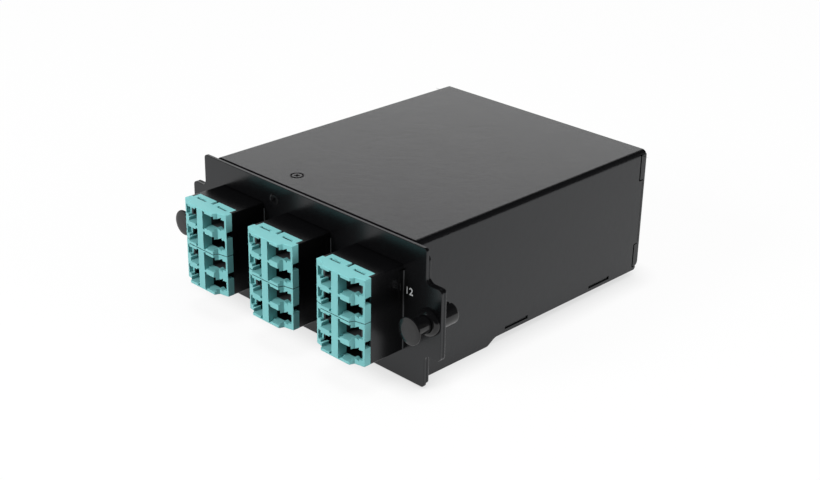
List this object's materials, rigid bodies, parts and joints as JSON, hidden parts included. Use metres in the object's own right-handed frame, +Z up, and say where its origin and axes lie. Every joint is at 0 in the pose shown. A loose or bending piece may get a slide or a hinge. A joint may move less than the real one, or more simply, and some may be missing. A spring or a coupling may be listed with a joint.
{
  "type": "fibre cassette",
  "caption": "Slide-in sheet-metal fibre cassette: duplex ports in stacked adapter blocks on the face plate, pull-knob latches in its ears, trunk ports at the rear.",
  "frame": {"origin": "centre of the footprint, at the height of the cover's lowest edge", "axes": "+Z up, -Y out of the ports (front), +Y towards the rear wall, X across the face plate"},
  "size_m": [0.103, 0.1156, 0.0414],
  "materials": {
    "black_sheet": "semi-gloss powder coat",
    "black_gloss": "gloss",
    "black_plastic": "satin",
    "dark_plastic": "matt",
    "teal_plastic": "satin moulded",
    "ceramic": "polished zirconia",
    "fibre_coat": "smooth",
    "black_screw": "black oxide"
  },
  "bodies": {
    "cassette": {"face_plate": "black_sheet", "flange_plate": "black_sheet", "cover": "black_sheet", "tray": "black_sheet", "adapter_1_upper": "teal_plastic", "core_top_1_upper": "dark_plastic", "core_bottom_1_upper": "dark_plastic", "split_sleeves_1_upper": "ceramic", "rear_plugs_1_upper": "teal_plastic", "adapter_1_lower": "teal_plastic", "core_top_1_lower": "dark_plastic", "core_bottom_1_lower": "dark_plastic", "split_sleeves_1_lower": "ceramic", "rear_plugs_1_lower": "teal_plastic", "bezel_1": "black_gloss", "fibres_1": "fibre_coat", "fanout_1": "black_plastic", "trunk_adapter_1": "black_plastic", "trunk_plug_1": "teal_plastic", "adapter_2_upper": "teal_plastic", "core_top_2_upper": "dark_plastic", "core_bottom_2_upper": "dark_plastic", "split_sleeves_2_upper": "ceramic", "rear_plugs_2_upper": "teal_plastic", "adapter_2_lower": "teal_plastic", "core_top_2_lower": "dark_plastic", "core_bottom_2_lower": "dark_plastic", "split_sleeves_2_lower": "ceramic", "rear_plugs_2_lower": "teal_plastic", "bezel_2": "black_gloss", "fibres_2": "fibre_coat", "fanout_2": "black_plastic", "trunk_adapter_2": "black_plastic", "trunk_plug_2": "teal_plastic", "adapter_3_upper": "teal_plastic", "core_top_3_upper": "dark_plastic", "core_bottom_3_upper": "dark_plastic", "split_sleeves_3_upper": "ceramic", "rear_plugs_3_upper": "teal_plastic", "adapter_3_lower": "teal_plastic", "core_top_3_lower": "dark_plastic", "core_bottom_3_lower": "dark_plastic", "split_sleeves_3_lower": "ceramic", "rear_plugs_3_lower": "teal_plastic", "bezel_3": "black_gloss", "fibres_3": "fibre_coat", "fanout_3": "black_plastic", "trunk_adapter_3": "black_plastic", "trunk_plug_3": "teal_plastic", "grommet_left": "black_plastic", "grommet_right": "black_plastic", "cover_screw": "black_screw", "face_screw": "black_screw", "trunk_screws": "black_screw"},
    "plunger_left": {"plunger_left": "black_plastic"},
    "plunger_right": {"plunger_right": "black_plastic"}
  },
  "joints": [
    {"name": "latch_left", "type": "slide", "parent": "cassette", "child": "plunger_left", "axis": [0, 1, 0], "range_m": [0, 0.0045]},
    {"name": "latch_right", "type": "slide", "parent": "cassette", "child": "plunger_right", "axis": [0, 1, 0], "range_m": [0, 0.0045]}
  ]
}
